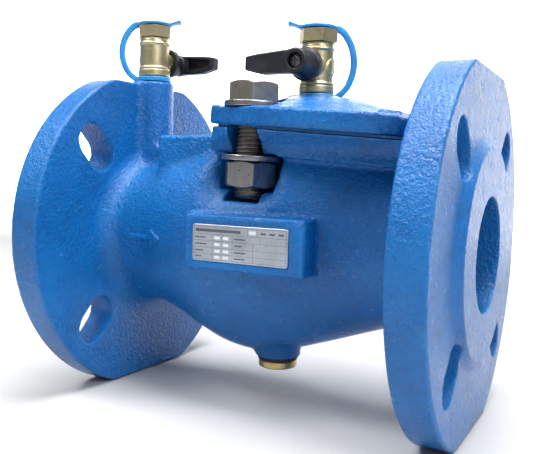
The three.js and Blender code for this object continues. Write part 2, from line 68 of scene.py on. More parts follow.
def R(axis, a):
    m = np.eye(4)
    c, s = math.cos(a), math.sin(a)
    i, j = {"x": (1, 2), "y": (2, 0), "z": (0, 1)}[axis]
    m[i, i] = c
    m[j, j] = c
    m[j, i] = s
    m[i, j] = -s
    return m


def slope(h):
    return T(18, 0, h) @ R("y", COVER_SLOPE) @ T(-18, 0, 0)


BONNET = slope(BONNET_TOP)
PLATE = slope(BONNET_TOP + 1.1)
FACE_AT_BOLT = BONNET_TOP + math.tan(COVER_SLOPE) * 20.2
BOLTS = {"front": T(-2.2, -31, FACE_AT_BOLT) @ R("y", BOLT_SLOPE), "rear": T(-2.2, 31, FACE_AT_BOLT) @ R("y", BOLT_SLOPE)}
SEAT = T(-54, 0, 0) @ R("y", -math.radians(12))
TAPS = {"inlet": T(TAP_IN[0], 0, TAP_IN[1] + 0.02) @ R("z", math.pi), "outlet": T(TAP_OUT[0], 0, TAP_OUT[1] + 0.02)}
LOOP = R("z", 0.5036)


def local(m, x, y, z):
    i = np.linalg.inv(m)
    return tuple(i[k, 0] * x + i[k, 1] * y + i[k, 2] * z + i[k, 3] for k in range(3))


# ------------------------------------------------------------------ distance fields


def smin(a, b, r):
    """Union with a fillet of radius r."""
    u, v = np.maximum(r - a, 0), np.maximum(r - b, 0)
    return np.maximum(r, np.minimum(a, b)) - np.sqrt(u * u + v * v)


def smax(a, b, r):
    """Intersection with an edge of radius r."""
    u, v = np.maximum(r + a, 0), np.maximum(r + b, 0)
    return np.minimum(-r, np.maximum(a, b)) + np.sqrt(u * u + v * v)


def cutr(a, b, r):
    """a less b, with the edge rounded to r."""
    return smax(a, -b, r)


def box(x, y, z, x0, x1, y0, y1, z0, z1, r=0.4):
    dx = np.abs(x - (x0 + x1) / 2) - (x1 - x0) / 2 + r
    dy = np.abs(y - (y0 + y1) / 2) - (y1 - y0) / 2 + r
    dz = np.abs(z - (z0 + z1) / 2) - (z1 - z0) / 2 + r
    out = np.sqrt(np.maximum(dx, 0) ** 2 + np.maximum(dy, 0) ** 2 + np.maximum(dz, 0) ** 2)
    return out + np.minimum(np.maximum(np.maximum(dx, dy), dz), 0) - r


def cyl(u, v, w, rad, a, b, r=0.3):
    """Round bar about w from a to b."""
    dr = np.sqrt(u * u + v * v) - rad + r
    dw = np.abs(w - (a + b) / 2) - (b - a) / 2 + r
    return np.sqrt(np.maximum(dr, 0) ** 2 + np.maximum(dw, 0) ** 2) + np.minimum(np.maximum(dr, dw), 0) - r


def torus(u, v, w, big, small, at=0.0):
    q = np.sqrt(u * u + v * v) - big
    return np.sqrt(q * q + (w - at) ** 2) - small


def hexa(u, v, af, turn=0.0):
    """Hexagon with its corner at angle turn."""
    d = None
    for k in range(3):
        a = turn + math.pi / 6 + k * math.pi / 3
        e = np.abs(u * math.cos(a) + v * math.sin(a)) - af / 2
        d = e if d is None else np.maximum(d, e)
    return d


def curve_table(xs, ys, n=900):
    """Smooth monotone-ish cubic through points, as a dense table for np.interp."""
    xs, ys = np.array(xs, float), np.array(ys, float)
    m = np.gradient(ys, xs)
    t = np.linspace(xs[0], xs[-1], n)
    k = np.clip(np.searchsorted(xs, t) - 1, 0, len(xs) - 2)
    h = xs[k + 1] - xs[k]
    s = (t - xs[k]) / h
    val = (2 * s**3 - 3 * s**2 + 1) * ys[k] + (s**3 - 2 * s**2 + s) * h * m[k] + (-2 * s**3 + 3 * s**2) * ys[k + 1] + (s**3 - s**2) * h * m[k + 1]
    return t, val


class Loft:
    """Sections along X: [x, half width, depth below, height above, squareness above]."""

    def __init__(self, stations):
        s = np.array(stations, float)
        self.x = None
        self.tabs = []
        for c in range(1, 5):
            self.x, v = curve_table(s[:, 0], s[:, c])
            self.tabs.append(v)

    def __call__(self, x, y, z):
        w, b, t, n = (np.interp(x, self.x, v).astype(x.dtype) for v in self.tabs)
        ay, az = np.abs(y) / w, np.abs(z)
        up = z > 0
        e = np.where(up, n, 2)
        q = az / np.where(up, t, b)
        k = np.maximum((np.maximum(ay, 1e-4) ** e + np.maximum(q, 1e-4) ** e) ** (1 / e), 1e-3)
        r = np.sqrt(y * y + z * z)
        return (r - r / k) * 0.95


# ------------------------------------------------------------------ from a field to a mesh
POOL = ThreadPoolExecutor(4)


def sample(f, lo, n, h):
    out = np.empty(n, np.float32)
    y = (lo[1] + h * np.arange(n[1], dtype=np.float32)).reshape(1, -1, 1)
    z = (lo[2] + h * np.arange(n[2], dtype=np.float32)).reshape(1, 1, -1)
    step = max(1, int(1.2e6 / (n[1] * n[2])))

    def slab(i):
        j = min(i + step, n[0])
        x = (lo[0] + h * np.arange(i, j, dtype=np.float32)).reshape(-1, 1, 1)
        out[i:j] = f(x, y, z)

    list(POOL.map(slab, range(0, n[0], step)))
    return out


def contour(f, lo, hi, h):
    """Dual contouring: vertices sit on the field's sharp edges as well as on its faces."""
    lo = np.array(lo, float) - 1.51 * h
    n = tuple(int(v) for v in np.ceil((np.array(hi, float) + 1.5 * h - lo) / h) + 1)
    F = sample(f, lo, n, h)
    F[F == 0] = 1e-5
    s = F < 0
    cells = np.zeros(tuple(v - 1 for v in n), np.uint8)
    for a in (0, 1):
        for b in (0, 1):
            for c in (0, 1):
                cells += s[a : n[0] - 1 + a, b : n[1] - 1 + b, c : n[2] - 1 + c]
    active = (cells > 0) & (cells < 8)
    count = int(active.sum())
    index = np.full(active.shape, -1, np.int64)
    index[active] = np.arange(count)
    acc = np.zeros((13, count))
    quads = []
    for axis in range(3):
        o = [0, 0, 0]
        o[axis] = 1
        a = s[: n[0] - o[0], : n[1] - o[1], : n[2] - o[2]]
        b = s[o[0] :, o[1] :, o[2] :]
        I = np.nonzero(a != b)
        fa = F[I].astype(float)
        fb = F[I[0] + o[0], I[1] + o[1], I[2] + o[2]].astype(float)
        t = fa / (fa - fb)
        g = np.stack(I, 1).astype(float)
        p = lo + h * g
        p[:, axis] += h * t
        eps = 0.06 * h
        base = f(p[:, 0], p[:, 1], p[:, 2])
        nr = np.stack([f(p[:, 0] + eps * (k == 0), p[:, 1] + eps * (k == 1), p[:, 2] + eps * (k == 2)) - base for k in range(3)], 1) / eps
        nr /= np.maximum(np.linalg.norm(nr, axis=1, keepdims=True), 1e-9)
        u, v = (axis + 1) % 3, (axis + 2) % 3
        idx = []
        ok = np.ones(len(t), bool)
        for du, dv in ((-1, -1), (0, -1), (0, 0), (-1, 0)):
            c = [I[0].copy(), I[1].copy(), I[2].copy()]
            c[u] = c[u] + du
            c[v] = c[v] + dv
            inside = np.ones(len(t), bool)
            for k in range(3):
                inside &= (c[k] >= 0) & (c[k] < n[k] - 1)
            ok &= inside
            idx.append(np.where(inside, index[np.clip(c[0], 0, n[0] - 2), np.clip(c[1], 0, n[1] - 2), np.clip(c[2], 0, n[2] - 2)], -1))
        d = (nr * p).sum(1)
        rows = [nr[:, 0] ** 2, nr[:, 0] * nr[:, 1], nr[:, 0] * nr[:, 2], nr[:, 1] ** 2, nr[:, 1] * nr[:, 2], nr[:, 2] ** 2, nr[:, 0] * d, nr[:, 1] * d, nr[:, 2] * d, p[:, 0], p[:, 1], p[:, 2], np.ones(len(t))]
        for q in idx:
            good = q >= 0
            for r, val in enumerate(rows):
                acc[r] += np.bincount(q[good], weights=val[good], minlength=count)
        Q = np.stack(idx, 1)[ok]
        flip = ~s[I][ok]
        Q[flip] = Q[flip][:, ::-1]
        quads.append(Q)
    cnt = acc[12]
    c = (acc[9:12] / cnt).T
    A = np.empty((count, 3, 3))
    for r, (i, j) in enumerate(((0, 0), (0, 1), (0, 2), (1, 1), (1, 2), (2, 2))):
        A[:, i, j] = acc[r]
        A[:, j, i] = acc[r]
    bvec = acc[6:9].T - np.einsum("nij,nj->ni", A, c)
    A[:, (0, 1, 2), (0, 1, 2)] += 0.06 * cnt[:, None]
    x = c + np.linalg.solve(A, bvec[:, :, None])[:, :, 0]
    cell = lo + h * np.argwhere(active)
    x = np.clip(x, cell + 0.02 * h, cell + 0.98 * h)
    return x, np.concatenate(quads)


def to_mesh(name, verts, faces, place=None, lift=True):
    """verts in millimetres -> Blender mesh in metres, in the row frame."""
    v = np.asarray(verts, float)
    if place is not None:
        v = v @ place[:3, :3].T + place[:3, 3]
    v = (v + (0, 0, LIFT if lift else 0)) * 0.001
    me = bpy.data.meshes.new(name)
    if isinstance(faces, np.ndarray):
        k = faces.shape[1]
        me.vertices.add(len(v))
        me.vertices.foreach_set("co", v.astype(np.float32).ravel())
        me.loops.add(len(faces) * k)
        me.loops.foreach_set("vertex_index", faces.astype(np.int32).ravel())
        me.polygons.add(len(faces))
        me.polygons.foreach_set("loop_start", np.arange(0, len(faces) * k, k, dtype=np.int32))
        me.update(calc_edges=True)
    else:
        me.from_pydata([tuple(p) for p in v], [], [tuple(q) for q in faces])
        me.update()
    me.validate()
    return me


def finished(name, me, angle=32, keep=None):
    """Object with smooth faces and sharp creases; keep thins the mesh to that many triangles."""
    ob = bpy.data.objects.new(name, me)
    bpy.context.scene.collection.objects.link(ob)
    if keep:
        me.calc_loop_triangles()
        tris = len(me.loop_triangles)
        if tris > keep:
            mod = ob.modifiers.new("thin", "DECIMATE")
            mod.ratio = keep / tris
            mod.use_collapse_triangulate = True
            dg = bpy.context.evaluated_depsgraph_get()
            new = bpy.data.meshes.new_from_object(ob.evaluated_get(dg))
            ob.modifiers.clear()
            ob.data = new
            new.name = name
            me = new
    me.polygons.foreach_set("use_smooth", [True] * len(me.polygons))
    me.set_sharp_from_angle(angle=math.radians(angle))
    return ob


def piece(name, nodes, body, material, me, angle=32, keep=None):
    ob = finished(name, me, angle, keep)
    ob.data.materials.clear()
    ob.data.materials.append(material)
    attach(ob, body)
    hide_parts(*nodes)
    return ob


def carve(name, f, lo, hi, h, place=None):
    v, q = contour(f, lo, hi, h)
    return to_mesh(name, v, q, place)


def lathe(profile, segments=96, rounding=0.25, axis="z"):
    """Profile of [radius, height] turned about Z (or X, or Y), with its corners rounded."""
    pts = []
    P = [np.array(p, float) for p in profile]
    for i, p in enumerate(P):
        if i in (0, len(P) - 1) or rounding <= 0:
            pts.append(p)
            continue
        a, b = P[i - 1] - p, P[i + 1] - p
        la, lb = np.linalg.norm(a), np.linalg.norm(b)
        d = min(rounding, la * 0.4, lb * 0.4)
        for s in (0.0, 0.3, 0.7, 1.0):
            # quadratic corner
            p0, p2 = p + a / la * d, p + b / lb * d
            pts.append((1 - s) ** 2 * p0 + 2 * s * (1 - s) * p + s * s * p2)
    pts = np.array(pts)
    closed = np.allclose(P[0], P[-1])
    if closed:
        pts = pts[:-1]
    n = len(pts)
    ang = np.linspace(0, 2 * math.pi, segments, endpoint=False)
    r, hgt = pts[:, 0], pts[:, 1]
    X = r[:, None] * np.cos(ang)
    Y = r[:, None] * np.sin(ang)
    Z = np.repeat(hgt[:, None], segments, 1)
    V = np.stack([X, Y, Z], -1).reshape(-1, 3)
    faces = []
    rows = range(n if closed else n - 1)
    for i in rows:
        j = (i + 1) % n
        for k in range(segments):
            m = (k + 1) % segments
            faces.append((i * segments + k, i * segments + m, j * segments + m, j * segments + k))
    out_v, out_f, seen = [], [], {}
    key = np.round(V, 5)
    remap = []
    for q in map(tuple, key):
        if q not in seen:
            seen[q] = len(out_v)
            out_v.append(q)
        remap.append(seen[q])
    for f in faces:
        g = []
        for i in f:
            j = remap[i]
            if j not in g:
                g.append(j)
        if len(g) > 2:
            out_f.append(g)
    V = np.array(out_v)
    if axis == "x":
        V = V[:, (2, 0, 1)]
    elif axis == "y":
        V = V[:, (1, 2, 0)]
    # outward faces
    vol = 0.0
    for g in out_f:
        for i in range(1, len(g) - 1):
            vol += np.dot(V[g[0]], np.cross(V[g[i]], V[g[i + 1]]))
    if vol < 0:
        out_f = [g[::-1] for g in out_f]
    return V, out_f


def turned(name, profile, place=None, segments=96, rounding=0.25, axis="z"):
    v, f = lathe(profile, segments, rounding, axis)
    return to_mesh(name, v, f, place)


# ------------------------------------------------------------------ materials


def shader(name):
    m = bpy.data.materials.new(name)
    m.use_nodes = True
    nt = m.node_tree
    nt.nodes.clear()
    out = nt.nodes.new("ShaderNodeOutputMaterial")
    b = nt.nodes.new("ShaderNodeBsdfPrincipled")
    nt.links.new(b.outputs[0], out.inputs[0])
    tc = nt.nodes.new("ShaderNodeTexCoord")
    return m, nt, b, tc


def noise(nt, tc, scale, detail=3.0, rough=0.5, stretch=None):
    src = tc.outputs["Object"]
    if stretch:
        mp = nt.nodes.new("ShaderNodeMapping")
        mp.inputs["Scale"].default_value = stretch
        nt.links.new(src, mp.inputs["Vector"])
        src = mp.outputs[0]
    n = nt.nodes.new("ShaderNodeTexNoise")
    n.inputs["Scale"].default_value = scale
    n.inputs["Detail"].default_value = detail
    n.inputs["Roughness"].default_value = rough
    nt.links.new(src, n.inputs["Vector"])
    return n.outputs["Fac"]


def ramp(nt, fac, stops):
    r = nt.nodes.new("ShaderNodeValToRGB")
    e = r.color_ramp.elements
    while len(e) > 1:
        e.remove(e[-1])
    e[0].position, e[0].color = stops[0][0], (*stops[0][1], 1)
    for p, c in stops[1:]:
        k = e.new(p)
        k.color = (*c, 1)
    nt.links.new(fac, r.inputs[0])
    return r.outputs[0]


def span(nt, fac, lo, hi, a=0.3, b=0.7):
    m = nt.nodes.new("ShaderNodeMapRange")
    m.inputs["From Min"].default_value = a
    m.inputs["From Max"].default_value = b
    m.inputs["To Min"].default_value = lo
    m.inputs["To Max"].default_value = hi
    nt.links.new(fac, m.inputs["Value"])
    return m.outputs[0]


def mixc(nt, fac, a, b, mode="MIX"):
    m = nt.nodes.new("ShaderNodeMix")
    m.data_type = "RGBA"
    m.blend_type = mode
    if isinstance(fac, float):
        m.inputs["Factor"].default_value = fac
    else:
        nt.links.new(fac, m.inputs["Factor"])
    for s, v in (("A", a), ("B", b)):
        sock = [i for i in m.inputs if i.name == s and i.type == "RGBA"][0]
        if isinstance(v, tuple):
            sock.default_value = (*v, 1)
        else:
            nt.links.new(v, sock)
    return [o for o in m.outputs if o.type == "RGBA"][0]


def bump(nt, b, layers):
    """layers of (height, distance in metres, strength)."""
    last = None
    for hgt, dist, strength in layers:
        n = nt.nodes.new("ShaderNodeBump")
        n.inputs["Distance"].default_value = dist
        n.inputs["Strength"].default_value = strength
        nt.links.new(hgt, n.inputs["Height"])
        if last is not None:
            nt.links.new(last, n.inputs["Normal"])
        last = n.outputs[0]
    nt.links.new(last, b.inputs["Normal"])


def edge_wear_and_highlight(nt):
    """Mask of the outer edges, from the mesh's own curvature: where the metals show wear, the paint gets a painted
    edge highlight and the plastics a lighter edge colour.
    """
    g = nt.nodes.new("ShaderNodeNewGeometry")
    return span(nt, g.outputs["Pointiness"], 0.0, 1.0, 0.53, 0.62)


def paint(name, grain=1.0, base=(0.0040, 0.130, 0.425), rough=(0.15, 0.29)):
    m, nt, b, tc = shader(name)
    big = noise(nt, tc, 26, 4, 0.6)
    fine = noise(nt, tc, 620, 4, 0.62)
    mid = noise(nt, tc, 150, 3, 0.55)
    dark = tuple(c * 0.74 for c in base)
    light = (base[0] * 1.6 + 0.002, base[1] * 1.28, base[2] * 1.12)
    col = ramp(nt, big, [(0.30, dark), (0.52, base), (0.74, light)])
    col = mixc(nt, span(nt, fine, 0.0, 0.5, 0.56, 0.70), col, light)
    col = mixc(nt, span(nt, noise(nt, tc, 470, 3, 0.6), 0.45, 0.0, 0.30, 0.44), col, tuple(c * 0.5 for c in base))
    # lighter blue along the outer edges: a painted edge highlight
    col = mixc(nt, edge_wear_and_highlight(nt), col, (base[0] * 3 + 0.012, min(1.0, base[1] * 1.6), min(1.0, base[2] * 1.3)))
    nt.links.new(col, b.inputs["Base Color"])
    nt.links.new(span(nt, mid, rough[0], rough[1]), b.inputs["Roughness"])
    b.inputs["Coat Weight"].default_value = 0.04
    b.inputs["Coat Roughness"].default_value = 0.14
    b.inputs["Specular IOR Level"].default_value = 0.36
    bump(nt, b, [(noise(nt, tc, 70, 3, 0.5), 0.0007, 0.30 * grain + 0.08), (noise(nt, tc, 430, 3, 0.6), 0.00095, 0.90 * grain), (noise(nt, tc, 950, 2, 0.6), 0.00055, 0.90 * grain)])
    return m


def metal(name, base, rough=(0.22, 0.40), grain=0.35, scale=420, stain=None, stain_at=(0.62, 0.74), brushed=None, edge=None):
    m, nt, b, tc = shader(name)
    big = noise(nt, tc, 60, 4, 0.6)
    fine = noise(nt, tc, scale, 4, 0.65, brushed)
    col = ramp(nt, big, [(0.28, tuple(c * 0.74 for c in base)), (0.5, base), (0.75, tuple(min(1.0, c * 1.14) for c in base))])
    col = mixc(nt, span(nt, fine, 0.0, 0.4, 0.5, 0.72), col, tuple(c * 0.62 for c in base))
    if stain:
        col = mixc(nt, span(nt, noise(nt, tc, 95, 5, 0.7), 0.0, 0.75, *stain_at), col, stain)
    if edge:
        col = mixc(nt, edge_wear_and_highlight(nt), col, edge)
    nt.links.new(col, b.inputs["Base Color"])
    b.inputs["Metallic"].default_value = 1.0
    nt.links.new(span(nt, fine, *rough), b.inputs["Roughness"])
    bump(nt, b, [(noise(nt, tc, 180, 3, 0.5), 0.0003, grain * 0.6), (fine, 0.00012, grain)])
    return m


def plastic(name, base, rough=(0.32, 0.48), grain=0.3, light=None, sub=0.0):
    m, nt, b, tc = shader(name)
    big = noise(nt, tc, 90, 3, 0.5)
    fine = noise(nt, tc, 1500, 3, 0.6)
    light = light or tuple(min(1.0, c * 1.35 + 0.006) for c in base)
    col = ramp(nt, big, [(0.3, tuple(c * 0.8 for c in base)), (0.5, base), (0.72, light)])
    col = mixc(nt, edge_wear_and_highlight(nt), col, tuple(min(1.0, c * 1.6 + 0.01) for c in base))
    nt.links.new(col, b.inputs["Base Color"])
    nt.links.new(span(nt, fine, *rough), b.inputs["Roughness"])
    if sub:
        b.inputs["Subsurface Weight"].default_value = sub
        b.inputs["Subsurface Radius"].default_value = (0.2, 0.4, 0.8)
        b.inputs["Subsurface Scale"].default_value = 0.002
    bump(nt, b, [(noise(nt, tc, 240, 2, 0.5), 0.0002, grain * 0.5), (fine, 0.00006, grain)])
    return m


PAINT = paint("paint_cast", 1.0)
PAINT_COVER = paint("paint_cover", 0.85, rough=(0.18, 0.36))
BRASS = metal("forged_brass", (0.64, 0.56, 0.34), (0.30, 0.50), 0.7, 650, stain=(0.30, 0.21, 0.09), edge=(0.80, 0.70, 0.46))
ZINC = metal("zinc_steel", (0.36, 0.36, 0.37), (0.24, 0.42), 0.35, 500, stain=(0.26, 0.23, 0.19), edge=(0.72, 0.72, 0.72))
HEAD = metal("bolt_head_steel", (0.38, 0.36, 0.33), (0.26, 0.46), 0.5, 500, stain=(0.34, 0.20, 0.09), stain_at=(0.58, 0.68), edge=(0.74, 0.72, 0.68))
SCREW = metal("tap_screw_steel", (0.14, 0.14, 0.15), (0.35, 0.55), 0.4, 700, edge=(0.34, 0.34, 0.35))
THREAD = metal("thread_steel", (0.30, 0.28, 0.26), (0.30, 0.50), 0.4, 700, stain=(0.22, 0.15, 0.09))
STEEL = metal("stainless", (0.62, 0.62, 0.62), (0.22, 0.38), 0.25, 700, brushed=(1, 1, 8))
BRONZE = metal("bronze", (0.50, 0.33, 0.15), (0.28, 0.45), 0.3, 600, brushed=(8, 1, 1))
PLUG = metal("plug_brass", (0.60, 0.45, 0.20), (0.26, 0.42), 0.4, 500, stain=(0.38, 0.25, 0.09), edge=(0.86, 0.70, 0.36))
PLATE_METAL = metal("plate_satin", (0.50, 0.55, 0.62), (0.34, 0.46), 0.18, 900, brushed=(1, 1, 14))
BLACK = plastic("black_nylon", (0.012, 0.013, 0.017), (0.30, 0.50), 0.5, light=(0.026, 0.028, 0.034))
SKY = plastic("blue_polyethylene", (0.030, 0.300, 0.700), (0.28, 0.42), 0.25, light=(0.06, 0.40, 0.80), sub=0.12)
RUBBER = plastic("rubber_seal", (0.012, 0.012, 0.012), (0.6, 0.8), 0.6)
FIBRE = plastic("fibre_sheet", (0.012, 0.013, 0.020), (0.7, 0.9), 0.8)
# cover gasket, painted over in the body's blue but darkened well below the paint: the darkness is painted shade for
# the joint between cover and body
FIBRE_OVERPAINTED_SHADED = plastic("fibre_sheet_overpainted_with_painted_shade", (0.004, 0.050, 0.165), (0.4, 0.6), 0.6)
PTFE = plastic("ptfe", (0.80, 0.80, 0.77), (0.4, 0.55), 0.3)
INK = plastic("print_dark", (0.055, 0.058, 0.068), (0.35, 0.5), 0.15)
PRINT = plastic("print_white", (0.52, 0.55, 0.59), (0.35, 0.5), 0.15)

for node, mat in {
    "cover_gasket": FIBRE_OVERPAINTED_SHADED, "drain_plug_seal": FIBRE, "hinge_bracket": STEEL, "bracket_screw_front": STEEL, "bracket_screw_rear": STEEL, "hinge_arm": STEEL,
    "disc_nut": STEEL, "hinge_pin": STEEL, "disc_washer": STEEL, "arm_bush": BRONZE, "seat_ring": BRONZE, "flap_disc": STEEL, "disc_seal": RUBBER, "seal_retainer": STEEL,
    **{e + "_tap_" + k: v for e in ("inlet", "outlet") for k, v in (("ball", STEEL), ("seat_lower", PTFE), ("seat_upper", PTFE), ("stem", BRASS), ("gland", BRASS))},
}.items():
    d = NODES[node].data
    d.materials.clear()
    d.materials.append(mat)

# ------------------------------------------------------------------ body casting
SKIN = Loft([
    [-92, 43, 43, 42, 2], [-84, 40, 41, 41, 2], [-66, 39, 43, 43, 2.2], [-54, 42, 47, 46, 2.4], [-40, 45, 54, 49, 2.4],
    [-25, 46, 60, 56, 2.3], [-6, 44.5, 62, 60, 2.2], [12, 42, 58.5, 60, 2.2], [32, 37, 52, 58, 2.2], [56, 34.5, 43.5, 54, 2.2], [78, 34.5, 36.5, 46, 2.1], [92, 36, 35, 41, 2],
])
HOLLOW = Loft([
    [-62, 34.5, 36, 36, 2.2], [-55, 36.5, 41, 40, 2.3], [-41, 39, 48, 43, 2.4], [-25, 39.5, 53.5, 47, 2.4], [-8, 38, 55, 52, 2.2], [10, 35.5, 51, 52, 2.2], [28, 31.5, 43, 50, 2.2],
    [44, 28.4, 33, 34, 2.2], [56, 27.75, 27.75, 27.75, 2],
])


def flange(x, y, z, side):
    rho = np.sqrt(y * y + z * z)
    s = x * side  # measured outwards
    disc = smax(rho - 92.5, np.abs(s - 98.5) - 8.5, 1.6)
    disc = smax(disc, np.abs(z) - 86.5, 1.4)
    cone = smax(smax(rho - 55 + (s - 107) * (4 / 3.5), s - END, 0.5), 100 - s, 0.2)
    disc = smin(disc, cone, 1.2)
    a, b = (np.abs(y) + np.abs(z)) * math.sqrt(0.5), (np.abs(y) - np.abs(z)) * math.sqrt(0.5)
    slot = np.sqrt(np.maximum(np.abs(a - 67.5) - 5.0, 0) ** 2 + b * b) - 9.5
    return disc, slot


def prism5(u, v, corners):
    """Convex outline, mirrored in v, from half planes: corners [u, v, radius] from low u to high u."""
    d = -(u - corners[0][0])
    av = np.abs(v)
    for i in range(len(corners)):
        r = corners[i][2]
        if i + 1 < len(corners):
            (u0, v0, _), (u1, v1, _) = corners[i], corners[i + 1]
            L = math.hypot(u1 - u0, v1 - v0)
            e = (-(v1 - v0) * (u - u0) + (u1 - u0) * (av - v0)) / L
        else:
            e = u - corners[i][0]
        d = smax(d, e, r)
    return d


def bonnet_outline(u, v):
    return prism5(u, v, [(-23.5, 37, 2.5), (16, 51, 1.0), (84, 51, 5)])


def arrow2(x, z):
    """Plain flow arrow, a shaft and a head."""
    shaft = np.maximum(np.abs(x + 66.5) - 8.5, np.abs(z) - 1.3)
    head = np.maximum((np.abs(z) - (-(x + 50.5)) * 0.62) * 0.85, -(x + 58.8))
    return np.minimum(shaft, head)


def body_field(x, y, z):
    bx, by, bz = local(BONNET, x, y, z)
    skin = smax(SKIN(x, y, z), bz + 1.2, 1.5)
    skin = np.maximum(skin, np.abs(x) - 95)
    for side, m in BOLTS.items():
        u, v, w = local(m, x, y, z)
        out = v * (-1 if side == "front" else 1)
        arc = np.where(out > 0, np.abs(u + 0.12 * out), np.sqrt(u * u + v * v))
        bay = smax(arc - 16.5 - 0.30 * np.maximum(out, 0), -30 - 0.75 * np.maximum(out - 2, 0) - w, 7.0)
        skin = smax(skin, -bay, 6.0)
    emboss = smax(smax(skin - 0.9, arrow2(x, z + 0.5), 0.45), y + 6, 0.1)
    fi, slot = flange(x, y, z, -1)
    fo, _ = flange(x, y, z, 1)
    d = smin(skin, fi, 8.5)
    d = smin(d, fo, 6)
    flange_top = smax(bonnet_outline(bx, by), np.abs(bz + 6.2) - 6.2, 1.3)
    flange_top = smax(flange_top, x - 92, 0.1)
    d = smin(d, flange_top, 3.2)
    ledge = box(x, y, z, -64.5, -16, -28, 28, 20, 55.6, 2.4)
    d = smin(d, ledge, 3.5)
    tower = cyl(x - TAP_IN[0], y, z, 11.6, 20, 88, 1.6)
    d = smin(d, box(x, y, z, -100, -74, -9, 9, 20, 50, 3), 5.0)
    d = smin(d, tower, 5.0)
    pad = box(x, y, z, -29.5, 37.5, -50, 0, -12.5, 14.7, 1.5)
    d = smin(d, pad, 2.6)
    lug = box(x, y, z, -47, -30, -6, 6, -52, -40, 1.8)
    d = smin(d, lug, 2.5)
    d = smin(d, cyl(x, y, z, 12.5, -64.5, -45, 1.2), 3.5)
    d = smin(d, emboss, 0.5)
    lip = np.maximum(box(bx, by, bz, 80, 94, -30, 30, -2, 16, 1.5), -box(bx, by, bz, 60, 87.6, -60, 60, -5, 8.6, 0.5))
    d = smin(d, lip, 1.0)
    # hollow
    sx, sy, sz = local(SEAT, x, y, z)
    hol = np.maximum(HOLLOW(x, y, z), np.maximum(-62 - x, x - 56))
    hol = smax(hol, np.where(x > -30, bz + 6, -50), 3)
    hol = smin(hol, box(x, y, z, -70, -14, -21.5, 21.5, 0, 49.6, 4), 3)
    hol = smax(hol, -sx, 0.5)
    rho = np.sqrt(y * y + z * z)
    srho = np.sqrt(sy * sy + sz * sz)
    for m in BOLTS.values():
        u, v, w = local(m, x, y, z)
        q = np.sqrt(u * u + v * v)
        hol = smax(hol, -np.maximum(q - 19.5, -35 - w), 2)
        hol = smax(hol, -np.maximum(q - 13.5, np.maximum(-40 - w, w + 30)), 1)
    hol = smin(hol, np.maximum(rho - 27.75, x + 56), 0.5)
    hol = smin(hol, np.maximum(rho - 27.75, 50 - x), 2)
    hol = np.minimum(hol, np.maximum(srho - 27.75, np.abs(sx + 12.5) - 9.5))
    hol = np.minimum(hol, np.maximum(srho - 34.3, np.abs(sx + 3.4) - 3.9))
    av = np.abs(by)
    wide = np.where(bx > 17, 24.0, 11.6)
    wide = 11.6 + 12.4 * np.clip((bx - 14) / 6, 0, 1)
    opening = smax(smax(np.abs(bx - 18.5) - 35.5, av - wide, 5), np.abs(bz + 11.5) - 12.5, 0.2)
    hol = smin(hol, opening, 1.5)
    tx = x - TAP_IN[0]
    port = np.sqrt(tx * tx + y * y)
    hol = np.minimum(hol, np.maximum(port - 6.9, 70 - z))
    hol = np.minimum(hol, np.maximum(port - 3.5, np.abs(z - 42) - 34))
    hol = np.minimum(hol, cyl(x, y, z, 8.3, -70, -40, 0.1))
    d = smax(d, -hol, 0.6)
    d = smax(d, -slot, 0.9)
    # recess of the name plate
    d = smax(d, -box(x, y, z, -24.8, 29.8, -51.5, -49.3, -8.5, 10.3, 0.3), 0.2)
    for side, m in BOLTS.items():
        sgn = -1 if side == "front" else 1
        u, v, w = local(m, x, y, z)
        out = v * sgn
        q = np.sqrt(u * u + v * v)
        arc = np.where(out > 0, np.abs(u), q)
        gap = np.maximum(arc - 8.8, np.abs(w + 10) - 20)
        d = smax(d, -gap, 0.8)
        d = smax(d, -np.maximum(q - 16.6, np.abs(w + 14.95) - 2.05), 0.5)
        near = np.maximum(arc - 15.4, out - 17.5)
        d = smax(d, -np.maximum(near, np.abs(w + 21.95) - 9.05), 2.2)
        d = smax(d, -np.maximum(arc - 10.0, np.abs(w + 24.75) - 11.85), 0.8)
    return d


H_BODY = 1.0
body_me = carve("valve_body_cast", body_field, (-110.5, -92.5, -86.5), (110.5, 92.5, 88.0), H_BODY)
body_ob = piece("valve_body_cast", ["valve_body"], "valve", PAINT, body_me, 38, 190000)

# ------------------------------------------------------------------ cover
DOME_X, DOME_H = curve_table([0, 8, 15, 24, 33, 40, 44], [17.6, 17.5, 17.0, 15.3, 12.4, 8.8, 6.0])
DOME = T(27, 0, BONNET_TOP + 1.9) @ R("y", COVER_SLOPE)
DOMEC = T(24, 0, BONNET_TOP + 1.9) @ R("y", COVER_SLOPE)
CEIL_X, CEIL_H = curve_table([0, 12, 24, 31, 33.2], [6.2, 6, 5, 2.6, -3])


